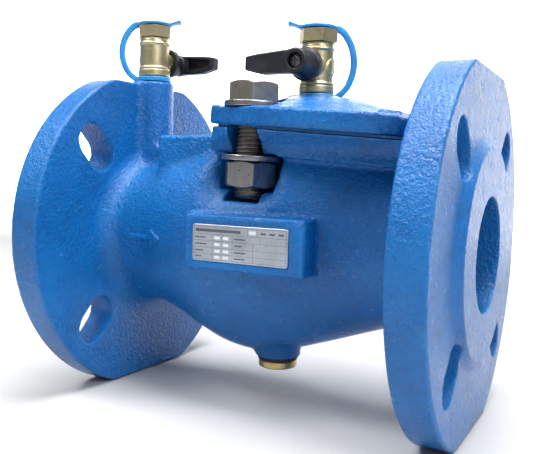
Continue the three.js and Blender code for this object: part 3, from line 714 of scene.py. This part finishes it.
def cover_field(x, y, z):
    u, v, w = local(PLATE, x, y, z)
    out = prism5(u, v, [(-24.5, 38, 2.5), (16, 51.6, 1.0), (70, 51.6, 1.0), (83, 44, 5)])
    out = smax(out, np.where(np.abs(v) > 31.0, u - 78.0, -60.0), 0.6)
    d = smax(out, np.abs(w - 4.7) - 4.7, 1.7)
    a, b, c = local(DOME, x, y, z)
    q = np.sqrt(a * a + b * b)
    dome = (c - np.interp(q, DOME_X, DOME_H).astype(q.dtype)) * 0.93
    dome = np.maximum(np.maximum(dome, q - 43), -c + 1)
    d = smin(d, dome, 5.0)
    d = smin(d, cyl(x - TAP_OUT[0], y, z, 14, 60, DOME_TOP, 1.2), 4.0)
    spot = np.sqrt((x - TAP_OUT[0]) ** 2 + y * y) - 14.2
    d = smax(d, -np.maximum(spot, DOME_TOP - z), 0.5)
    # raised pad ahead of the step at the outlet end
    d = smin(d, smax(smax(np.abs(u - 70.5) - 5.5, np.abs(v) - 40, 3), np.abs(w - 9) - 2.6, 1.2), 2.0)
    d = np.maximum(d, -box(u, v, w, 79, 95, -60, 60, 7.2, 20, 0.1))
    e, f, g = local(DOMEC, x, y, z)
    q2 = np.sqrt(e * e + f * f)
    ceil = np.maximum((g - np.interp(q2, CEIL_X, CEIL_H).astype(q2.dtype)) * 0.9, q2 - 33)
    d = smax(d, -ceil, 0.8)
    tx = x - TAP_OUT[0]
    port = np.sqrt(tx * tx + y * y)
    d = np.maximum(d, -np.maximum(port - 6.9, (DOME_TOP - 9.5) - z))
    d = np.maximum(d, -(port - 3.5))
    for m in BOLTS.values():
        p, s, h = local(m, x, y, z)
        rr = np.sqrt(p * p + s * s)
        d = smax(d, -(rr - 8.8), 0.5)
        d = smax(d, -np.maximum(rr - 17, 10 - h), 0.7)
    return d


H_COVER = 0.75
cover_me = carve("cover_cast", cover_field, (-25, -52, 50), (86, 52, 80), H_COVER)
piece("cover_cast", ["cover"], "valve", PAINT_COVER, cover_me, 38, 90000)

# ------------------------------------------------------------------ bolts, nuts and washers


def hex_body(u, v, w, af, a, b, turn=0.2, both=True):
    """Hexagon whose corners are turned off at 30 degrees."""
    d = smax(hexa(u, v, af, turn), np.abs(w - (a + b) / 2) - (b - a) / 2, 0.15)
    rr = np.sqrt(u * u + v * v)
    top = (rr - af / 2 * 0.955) * 0.5 + (w - b) * 0.866
    d = np.maximum(d, top)
    if both:
        d = np.maximum(d, (rr - af / 2 * 0.955) * 0.5 + (a - w) * 0.866)
    return d


def thread(u, v, w, rad, pitch, depth):
    rr = np.sqrt(u * u + v * v)
    ph = (w / pitch - np.arctan2(v, u) / (2 * math.pi)) % 1.0
    tri = np.abs(ph - 0.5) * 2  # 1 at the root, 0 at the crest
    return rr - (rad - depth * np.clip(tri * 1.35 - 0.2, 0, 1))


def bolt_field(u, v, w):
    head = hex_body(u, v, w, 24, 13.55, 22.9, -0.06, False)
    ring = cyl(u, v, w, 11.3, 13.5, 14.2, 0.2)
    crown = np.maximum(head, -smax(np.sqrt(u * u + v * v) - 9.2, 22.55 - w, 0.1))
    shank = np.maximum(np.sqrt(u * u + v * v) - 7.85, np.abs(w - 8) - 6)
    th = np.maximum(thread(u, v, w, 7.85, 2.0, 1.15), np.abs(w + 15.9) - 18.9)
    th = np.maximum(th, (np.sqrt(u * u + v * v) - 6.1 - (w + 34.8)) * 0.7)
    return np.minimum(np.minimum(np.minimum(crown, ring), shank), th)


def nut_field(u, v, w):
    d = hex_body(u, v, w, 24, -29.2, -16.3, 0.12)
    rr = np.sqrt(u * u + v * v)
    hole = np.minimum(rr - 8.05, np.maximum(rr - 8.9 + np.minimum(w + 29.2, -16.3 - w), -3))
    return np.maximum(d, -hole)


bv, bq = contour(bolt_field, (-14, -14, -35), (14, 14, 23), 0.3)
nv, nq = contour(nut_field, (-14, -14, -29.3), (14, 14, -16.2), 0.3)
wv, wf = lathe([[8.5, 10.25], [14.5, 10.25], [15, 10.6], [15, 12.9], [14.6, 13.25], [8.5, 13.25], [8.5, 10.25]], 96, 0.35)
xv, xf = lathe([[8.5, -16], [14.6, -16], [15, -15.65], [15, -13.6], [14.6, -13.2], [8.5, -13.2], [8.5, -16]], 96, 0.35)
for side, m in BOLTS.items():
    piece("cover_bolt_m16_" + side, ["cover_bolt_" + side], "valve", HEAD, to_mesh("bolt", bv, bq, m), 30, 60000)
    ob = piece("cover_nut_m16_" + side, ["cover_nut_" + side], "valve", ZINC, to_mesh("nut", nv, nq, m), 30, 24000)
    piece("bolt_washer_flat_" + side, ["bolt_washer_" + side], "valve", ZINC, to_mesh("washer", wv, wf, m))
    piece("nut_washer_flat_" + side, ["nut_washer_" + side], "valve", ZINC, to_mesh("washer", xv, xf, m))
for side in BOLTS:
    # the shank and thread are duller than the head
    me = bpy.data.objects["cover_bolt_m16_" + side].data
    me.materials.append(THREAD)
    inv = np.linalg.inv(BOLTS[side])
    co = np.zeros(len(me.vertices) * 3, np.float32)
    me.vertices.foreach_get("co", co)
    wloc = (co.reshape(-1, 3) * 1000 - (0, 0, LIFT)) @ inv[2, :3] + inv[2, 3]
    low = wloc < 13.3
    me.polygons.foreach_set("material_index", [int(low[p.vertices[0]]) for p in me.polygons])

# ------------------------------------------------------------------ seat, flap and pin
SX = "x"
piece("seat_ring_turned", ["seat_ring"], "valve", BRONZE, turned("seat", [[27.8, -6.9], [33.9, -6.9], [33.9, -0.8], [32.6, -0.05], [29, -0.05], [27.8, -1], [27.8, -6.9]], SEAT, 128, 0.4, SX))
piece("flap_disc_turned", ["flap_disc"], "flap", STEEL, turned("disc", [[0, 2.25], [20.6, 2.25], [20.6, 1.05], [22.3, 1.05], [22.3, 3.6], [30.7, 3.6], [30.7, 1.05], [32, 1.05], [32, 5.5], [30.6, 6.5], [28, 7.6], [20, 8.0], [11, 8.2], [11, 9.4], [4.7, 9.4], [4.7, 21.5], [4, 22.4], [0, 22.4]], SEAT, 128, 0.4, SX))
piece("disc_seal_moulded", ["disc_seal"], "flap", RUBBER, turned("seal", [[22.6, 0.5], [26.5, 0.3], [30.4, 0.5], [30.4, 3.3], [22.6, 3.3], [22.6, 0.5]], SEAT, 128, 0.5, SX))
piece("seal_retainer_turned", ["seal_retainer"], "flap", STEEL, turned("retainer", [[0, -0.6], [3, -0.6], [3.4, -0.2], [8, -0.2], [8.6, -0.6], [22.2, -0.6], [22.2, 0.7], [20.3, 0.7], [20.3, 1.9], [0, 1.9]], SEAT, 128, 0.25, SX))


def arm_field(x, y, z):
    px, py, pz = x - 12, y, z - 40
    d = cyl(y, z, x, 10.5, 9.7, 14.6, 0.5)
    # blade bends back to the hub, in the plane through the pin's middle
    mid = np.interp(z, [0, 12, 34, 46], [12.1, 12.1, 13.2, 12.6])
    blade = smax(np.abs(x - mid) - 2.3, np.abs(y) - 7, 1.2)
    blade = np.maximum(blade, np.maximum(-z, z - 38))
    d = smin(d, blade, 1.5)
    d = smin(d, cyl(px, pz, py, 7, -8, 8, 0.6), 2.0)
    d = np.maximum(d, -(np.sqrt(y * y + z * z) - 5.35))
    d = np.maximum(d, -(np.sqrt(px * px + pz * pz) - 5.1))
    return d


arm_me = carve("arm", arm_field, (4, -11, -11), (20, 11, 48), 0.5, SEAT)
piece("hinge_arm_cast", ["hinge_arm"], "flap", STEEL, arm_me)


def disc_nut_field(x, y, z):
    d = smax(hexa(y, z, 15.6, 0.0), np.abs(x - 19.4) - 2.7, 0.15)
    rr = np.sqrt(y * y + z * z)
    d = np.maximum(d, (rr - 7.5) * 0.5 + (x - 22.1) * 0.866)
    return np.maximum(d, -(rr - 5.0))


piece("disc_nut_hex", ["disc_nut"], "flap", STEEL, carve("dn", disc_nut_field, (16.6, -9.2, -9.2), (22.2, 9.2, 9.2), 0.35, SEAT))
piece("disc_washer_flat", ["disc_washer"], "flap", STEEL, turned("dw", [[5.3, 14.9], [9.5, 14.9], [9.5, 16.4], [5.3, 16.4], [5.3, 14.9]], SEAT, 72, 0.3, SX))
PIN = SEAT @ T(12, 0, 40)
piece("hinge_pin_ground", ["hinge_pin"], "valve", STEEL, turned("pin", [[0, -15.5], [2.6, -15.5], [3.2, -14.9], [3.2, 14.9], [2.6, 15.5], [0, 15.5]], PIN, 48, 0.2, "y"))
piece("arm_bush_turned", ["arm_bush"], "flap", BRONZE, turned("bush", [[3.5, -7.95], [4.95, -7.95], [4.95, 7.95], [3.5, 7.95], [3.5, -7.95]], PIN, 48, 0.2, "y"))

# ------------------------------------------------------------------ drain plug


def plug_field(x, y, z):
    d = cyl(x, y, z, 10.6, -70.6, -66.4, 0.7)
    d = np.minimum(d, cyl(x, y, z, 8, -66.6, -53, 0.5))
    # turning grooves on the face and a recess for a hexagon key
    rr = np.sqrt(x * x + y * y)
    d = np.maximum(d, -np.maximum(np.abs(rr - 8.2) - 0.35, z + 70.3))
    return np.maximum(d, -np.maximum(hexa(x, y, 8.0, 0.0), z + 67.6))


piece("drain_plug_hex", ["drain_plug"], "valve", PLUG, carve("plug", plug_field, (-10.7, -10.7, -70.7), (10.7, 10.7, -53), 0.35))

# ------------------------------------------------------------------ name plate, with a plain grid printed on it


def plate_field(x, y, z):
    d = smax(np.abs(x - 2.5) - 26.9, np.abs(z - 0.9) - 9.1, 1.3)
    return smax(d, np.abs(y + 49.9) - 0.3, 0.12)


piece("name_plate_etched", ["name_plate"], "valve", PLATE_METAL, carve("np", plate_field, (-24.5, -50.3, -8.3), (29.5, -49.5, 10.1), 0.3), 32, 30000)


def flat_bars(name, rects, y, thick, material):
    v, f = [], []
    for x0, x1, z0, z1 in rects:
        k = len(v)
        e = min(0.12, (x1 - x0) * 0.3, (z1 - z0) * 0.3)
        for a0, a1, b0, b1, yy in ((x0, x1, z0, z1, y), (x0 + e, x1 - e, z0 + e, z1 - e, y - thick)):
            v += [(a0, yy, b0), (a1, yy, b0), (a1, yy, b1), (a0, yy, b1)]
        f += [(k, k + 3, k + 2, k + 1), (k + 4, k + 5, k + 6, k + 7)] + [(k + i, k + (i + 1) % 4, k + 4 + (i + 1) % 4, k + 4 + i) for i in range(4)]
    me = to_mesh(name, np.array(v), f)
    ob = bpy.data.objects.new(name, me)
    bpy.context.scene.collection.objects.link(ob)
    me.materials.append(material)
    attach(ob, "valve")
    return ob


PX0, PX1, PZ0, PZ1 = -23.6, 28.6, -7.4, 9.2
lines = []
for zz in (5.3, 2.0, -1.4, -4.6):
    lines.append((PX0, PX1, zz - 0.09, zz + 0.09))
for xx, z0, z1 in ((7.4, 5.3, 9.2), (12.8, 5.3, 9.2), (-12.6, -7.4, 5.3), (-1.0, -7.4, 5.3), (14.2, 2.0, 5.3), (10.6, -7.4, 2.0)):
    lines.append((xx - 0.09, xx + 0.09, z0, z1))
lines += [(PX0, PX1, PZ0 - 0.1, PZ0 + 0.1), (PX0, PX1, PZ1 - 0.1, PZ1 + 0.1), (PX0 - 0.1, PX0 + 0.1, PZ0, PZ1), (PX1 - 0.1, PX1 + 0.1, PZ0, PZ1)]
# plain bars where a filled-in plate has its entries
rng = np.random.default_rng(7)
for x0, x1, zc, hgt in ((-22.6, 3.6, 7.1, 1.5),):
    lines.append((x0, x1, zc - hgt / 2, zc + hgt / 2))
for row_z in (3.6, 0.3, -3.0, -6.0):
    for x0, x1 in ((-22.8, -14.0), (0.0, 8.0)):
        ln = x0 + (x1 - x0) * float(rng.uniform(0.45, 0.85))
        lines.append((x0, ln, row_z - 0.35, row_z + 0.35))
for x0 in (14.6, 19.4, 24.2):
    lines.append((x0, x0 + 3.0, 6.6, 7.6))
flat_bars("name_plate_lines", lines, -50.19, 0.05, INK)
blocks = [(8.2, 12.0, 6.3, 8.1)]
for row_z in (3.6, 0.3, -3.0, -6.0):
    for x0 in (-11.4, -6.4):
        blocks.append((x0, x0 + 3.2, row_z - 0.7, row_z + 0.7))
flat_bars("name_plate_fields", blocks, -50.19, 0.04, PRINT)

# ------------------------------------------------------------------ test taps: foot at Z = 0, stem towards -Y, lever towards -X


def tap_body_field(x, y, z, S):
    rr = np.sqrt(x * x + y * y)
    d = cyl(x, y, z, 8.55, 6.0, S + 12.2, 0.5)
    d = np.minimum(d, cyl(x, y, z, 6.3, -8.6, 4, 0.4))
    d = smin(d, cyl(x, y, z, 9.25, 3.5, 7.2, 0.55), 0.4)
    d = smin(d, torus(x, y, z, 8.3, 0.85, 8.15), 0.35)
    d = smin(d, torus(x, y, z, 8.35, 0.85, S + 8.9), 0.35)
    d = smax(d, -torus(x, y, z, 8.9, 0.55, S + 11.2), 0.2)
    # stem boss, and the forged swelling round the ball
    zz = z - S
    d = smin(d, cyl(x, zz, y, 5.6, -13, -2, 0.5), 1.6)
    # plain ring and button on the side away from the lever
    q = np.sqrt(y * y + zz * zz)
    ring = np.maximum(np.sqrt((q - 3.9) ** 2 + (rr - 8.5) ** 2) - 0.55, -x)
    d = smin(d, ring, 0.3)
    d = smin(d, np.maximum(np.sqrt((q / 2.6) ** 2 + ((rr - 8.4) / 0.45) ** 2) - 1, -x) * 0.5, 0.2)
    # small forged beads up the side
    for k in range(5):
        bz = zz + 6.2 - 3.1 * k
        bx, by = x + 6.1, y + 5.9
        d = smin(d, np.sqrt(bx * bx + by * by + bz * bz) - 0.75, 0.3)
    d = np.maximum(d, -np.maximum(rr - 3, z - 10))
    d = np.maximum(d, -np.maximum(rr - 6.75, S - 6.7 - z))
    d = np.maximum(d, -np.maximum(np.sqrt(x * x + zz * zz) - 2.5, y + 3))
    return np.maximum(d, -np.maximum(np.sqrt(x * x + zz * zz) - 4.2, y + 11.6))


def tap_end_field(x, y, z):
    """Heights from the stem."""
    rr = np.sqrt(x * x + y * y)
    d = smax(hexa(x, y, 18.0, 0.15), np.abs(z - 15.8) - 3.3, 0.25)
    d = np.maximum(d, (rr - 9.45) * 0.5 + (z - 19.1) * 0.866)
    d = np.maximum(d, (rr - 9.6) * 0.5 + (12.5 - z) * 0.866)
    d = np.minimum(d, cyl(x, y, z, 6.4, 7.0, 12.8, 0.2))
    d = np.maximum(d, -(rr - 3))
    return np.maximum(d, -np.maximum(rr - 5.6, 15.2 - z))


def lever_field(x, y, z):
    yy = -y
    # handle: tapers in height and in thickness towards the tip
    up = np.interp(x, [-28.5, -21, 0, 10], [3.5, 4.5, 5.9, 5.9])
    dn = np.interp(x, [-28.5, -19, 0, 10], [3.4, 5.8, 5.9, 5.9])
    hand = np.maximum(z - up, -dn - z)
    hand = smax(hand, np.abs(yy - 23.6) - 3.2, 1.0)
    hand = smax(hand, -28.5 - x, 1.2)
    hand = smax(hand, x - 1, 0.5)
    hub = np.sqrt(x * x + z * z)
    cone = np.interp(yy, [11.6, 15.0, 15.6, 21.0, 26.8], [8.5, 8.5, 7.6, 6.6, 6.0])
    hubd = smax(hub - cone, np.maximum(11.6 - yy, yy - 26.8), 0.8)
    d = smin(hand, hubd, 1.2)
    d = np.maximum(d, -np.maximum(hub - 6.4, yy - 16.4))
    d = np.maximum(d, -(hub - 2.5))
    d = smax(d, -np.maximum(hub - 3.9, 23.6 - yy), 0.35)
    # hollow on the side that faces the tap
    wall = np.interp(x, [-25.5, -10], [1.9, 3.6])
    hol = smax(smax(np.abs(z) - wall, np.abs(x + 17.4) - 8.0, 0.8), np.abs(yy - 22) - 2.9, 0.4)
    return smax(d, -hol, 0.3)


def screw_field(x, y, z):
    d = cyl(x, z, y, 3.3, -26.0, -25.1, 0.25)
    dome = np.sqrt(x * x + z * z + (y + 21.6) ** 2) - 4.75
    d = np.maximum(d, dome)
    d = np.minimum(d, cyl(x, z, y, 2.2, -25.3, -24.4, 0.1))
    d = np.maximum(d, -np.maximum(np.maximum(np.abs(x) - 0.5, np.abs(z) - 2.1), y + 25.45))
    return np.maximum(d, -np.maximum(np.maximum(np.abs(z) - 0.5, np.abs(x) - 2.1), y + 25.45))


def cap_field(x, y, z):
    """Heights from the stem."""
    rr = np.sqrt(x * x + y * y)
    crown = 20.3 + 0.45 * np.clip(1 - (rr / 10.2) ** 2, 0, 1)
    d = smax(rr - 9.95, np.abs(z - crown) - 0.75, 0.45)
    d = smin(d, cyl(x, y, z, 5.2, 16.4, 20.2, 0.4), 0.4)
    d = np.maximum(d, -np.maximum(rr - 3.9, z - 18.8))
    # tab that curls up
    tz = 20.5 + np.interp(-x, [8, 10.5, 13, 15.2], [0.0, 0.35, 1.25, 1.55])
    wide = np.interp(-x, [6, 10, 15], [4.0, 3.0, 2.9])
    tab = smax(smax(np.abs(y) - wide, np.abs(x + 11) - 4.6, 1.6), np.abs(z - tz) - 0.7, 0.35)
    bead = np.sqrt((x + 15.0) ** 2 + (z - 22.1) ** 2) - 1.0
    bead = np.maximum(bead, np.abs(y) - 2.9)
    return smin(smin(d, tab, 0.6), bead, 0.4)


FINE = 0.26
BARREL = {end: contour(lambda x, y, z, S=S: tap_body_field(x, y, z, S), (-9.6, -13.2, -8.7), (9.9, 9.6, S + 12.3), FINE * 1.1) for end, S in STEM.items()}
TAP_PARTS = {
    "tap_end": (contour(tap_end_field, (-10.5, -10.5, 6.9), (10.5, 10.5, 19.2), FINE * 1.1), "tap_end_hex", BRASS, "brass", 30000),
    "tap_lever": (contour(lever_field, (-28.6, -26.9, -8.6), (8.6, -11.5, 8.6), FINE), "tap_lever_moulded", BLACK, "black_plastic", 50000),
    "tap_screw": (contour(screw_field, (-3.4, -26.4, -3.4), (3.4, -24.3, 3.4), FINE * 0.6), "tap_screw_cross", SCREW, "zinc", 12000),
    "dust_cap": (contour(cap_field, (-16.2, -10.1, 16.3), (10.1, 10.1, 23.2), FINE), "dust_cap_moulded", SKY, "sky_plastic", 40000),
}
for end, m in TAPS.items():
    piece(end + "_tap_body_forged", [end + "_tap_body"], "valve", BRASS, to_mesh("tap_body", *BARREL[end], m), 34, 60000)
    for part, ((v, q), nm, mat, slot, keep) in TAP_PARTS.items():
        body = {"tap_lever": end + "_lever", "tap_screw": end + "_lever", "dust_cap": end + "_cap"}.get(part, "valve")
        place = m @ LOOP if part == "dust_cap" else m
        piece(end + "_" + nm, [end + "_" + part], body, mat, to_mesh(nm, v, q, place @ T(0, 0, STEM[end])), 34, keep)


def strap_mesh(place, S):
    """Ring round the foot and a band round to the cap."""
    pts = np.array([[8.6, 1.6], [10.6, 2.1], [13.2, 3.7], [16.3, 7.2], [18.6, 13], [19.1, 19], [17.6, 25.4], [14.6, 30.3], [12.2, 32.6], [9.9, 33.6], [8.8, 33.8]])
    pts[:, 1] = np.where(pts[:, 1] < 3, pts[:, 1], pts[:, 1] * (S + 20.7) / 34.1)
    t = np.linspace(0, 1, len(pts))
    cx, cz = (curve_table(t, pts[:, k], 64)[1] for k in (0, 1))
    fine = np.linspace(0, 1, 64)
    p = np.stack([cx, cz], 1)
    d = np.gradient(p, axis=0)
    d /= np.linalg.norm(d, axis=1, keepdims=True)
    nrm = np.stack([d[:, 1], -d[:, 0]], 1)
    prof = []
    hw, ht, r = 2.3, 1.7, 0.8
    for cxp, cyp, a0 in ((ht - r, hw - r, 0), (-ht + r, hw - r, 90), (-ht + r, -hw + r, 180), (ht - r, -hw + r, 270)):
        for a in (0, 22, 45, 68, 90):
            prof.append((cxp + r * math.cos(math.radians(a0 + a)), cyp + r * math.sin(math.radians(a0 + a))))
    prof = np.array(prof)
    k = len(prof)
    ends = np.exp(-((fine - 0.0) / 0.07) ** 2) + np.exp(-((fine - 1.0) / 0.07) ** 2)
    width, thick = 1 + 0.25 * ends, 1 - 0.45 * ends
    V = []
    for i in range(64):
        for a, b in prof:
            V.append((p[i, 0] + nrm[i, 0] * a * thick[i], b * width[i], p[i, 1] + nrm[i, 1] * a * thick[i]))
    F = []
    for i in range(63):
        for j in range(k):
            m2 = (j + 1) % k
            F.append((i * k + j, i * k + m2, (i + 1) * k + m2, (i + 1) * k + j))
    F.append(tuple(range(k))[::-1])
    F.append(tuple(range(63 * k, 64 * k)))
    V = np.array(V)
    rv, rf = lathe([[6.75, 0.35], [10.1, 0.35], [10.1, 2.9], [6.75, 2.9], [6.75, 0.35]], 72, 0.5)
    off = len(V)
    F += [tuple(i + off for i in g) for g in rf]
    return to_mesh("strap", np.concatenate([V, rv]), F, place)


for end, m in TAPS.items():
    me = strap_mesh(m @ LOOP, STEM[end])
    ob = finished(end + "_cap_strap_band", me, 40)
    me.materials.append(SKY)
    z0 = (m[2, 3] + LIFT) * 0.001
    x0 = m[0, 3] * 0.001
    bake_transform(ob)
    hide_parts(end + "_cap_strap")

# ------------------------------------------------------------------ camera, floor and light
AZ, EL, ROLL = math.radians(28.826), math.radians(6.141), math.radians(1.541)
fwd = Vector((-math.sin(AZ) * math.cos(EL), math.cos(AZ) * math.cos(EL), -math.sin(EL)))
right = fwd.cross(Vector((0, 0, 1))).normalized()
up = right.cross(fwd)
r2 = right * math.cos(ROLL) + up * math.sin(ROLL)
u2 = -right * math.sin(ROLL) + up * math.cos(ROLL)
cam = bpy.data.cameras.new("camera")
cam.sensor_width = 36
cam.lens = 680.32 / 535 * 36
cam.shift_x = (267.5 - 262.62) / 535
cam.shift_y = (249.63 - 227) / 535
cam.clip_start, cam.clip_end = 0.01, 20
cam_ob = bpy.data.objects.new("camera", cam)
bpy.context.scene.collection.objects.link(cam_ob)
rot = Matrix((r2, u2, -fwd)).transposed().to_4x4()
cam_ob.matrix_world = Matrix.Translation((0.17099, -0.33180, 0.12087)) @ rot
bpy.context.scene.camera = cam_ob

FLOOR_Z = -0.0006


def floor_mesh():
    """Floor that sweeps up into a backdrop far behind."""
    v, f = [], []
    n = 48
    prof = [(-6.0, 0.0), (2.2, 0.0)] + [(2.2 + 1.2 * math.sin(a), 1.2 - 1.2 * math.cos(a)) for a in np.linspace(0.08, math.pi / 2, 14)] + [(3.4, 4.0)]
    for i in range(n + 1):
        x = -6 + 12 * i / n
        for y, z in prof:
            v.append((x, y, z + FLOOR_Z))
    k = len(prof)
    for i in range(n):
        for j in range(k - 1):
            f.append((i * k + j, (i + 1) * k + j, (i + 1) * k + j + 1, i * k + j + 1))
    me = bpy.data.meshes.new("floor")
    me.from_pydata(v, [], f)
    me.polygons.foreach_set("use_smooth", [True] * len(me.polygons))
    return me


floor = bpy.data.objects.new("floor", floor_mesh())
bpy.context.scene.collection.objects.link(floor)
fm, fnt, fb, ftc = shader("floor_pale")
fb.inputs["Base Color"].default_value = (0.52, 0.52, 0.52, 1)
fb.inputs["Roughness"].default_value = 0.75
fb.inputs["Specular IOR Level"].default_value = 0.2
floor.data.materials.append(fm)

world = bpy.data.worlds.new("studio")
bpy.context.scene.world = world
world.use_nodes = True
world.node_tree.nodes["Background"].inputs[0].default_value = (1, 1, 1, 1)
world.node_tree.nodes["Background"].inputs[1].default_value = 0.24


def area(name, place, target, size, power, colour=(1, 1, 1)):
    l = bpy.data.lights.new(name, "AREA")
    l.shape = "RECTANGLE"
    l.size, l.size_y = size
    l.energy = power
    l.color = colour
    o = bpy.data.objects.new(name, l)
    bpy.context.scene.collection.objects.link(o)
    o.location = place
    o.rotation_euler = (Vector(target) - Vector(place)).to_track_quat("-Z", "Y").to_euler()
    return o


area("key_left_top", (-0.60, -0.55, 1.20), (0, 0, 0.09), (0.5, 0.4), 11)
area("fill_right", (1.05, -0.60, 0.95), (0.05, 0, 0.09), (0.5, 0.5), 10)
area("top", (0.15, 0.05, 1.25), (0, 0, 0.1), (0.8, 0.6), 27)
# these two face away from the valve and light the backdrop behind it
area("backdrop_left", (-3.0, 1.2, 1.4), (-3.3, 3.2, 0.4), (2.0, 1.0), 300)
area("backdrop_right", (-0.7, 1.2, 1.4), (-0.8, 3.2, 0.4), (2.0, 1.0), 260)

scene = bpy.context.scene
scene.view_settings.view_transform = "Standard"
scene.view_settings.look = "None"
scene.view_settings.exposure = 0.0
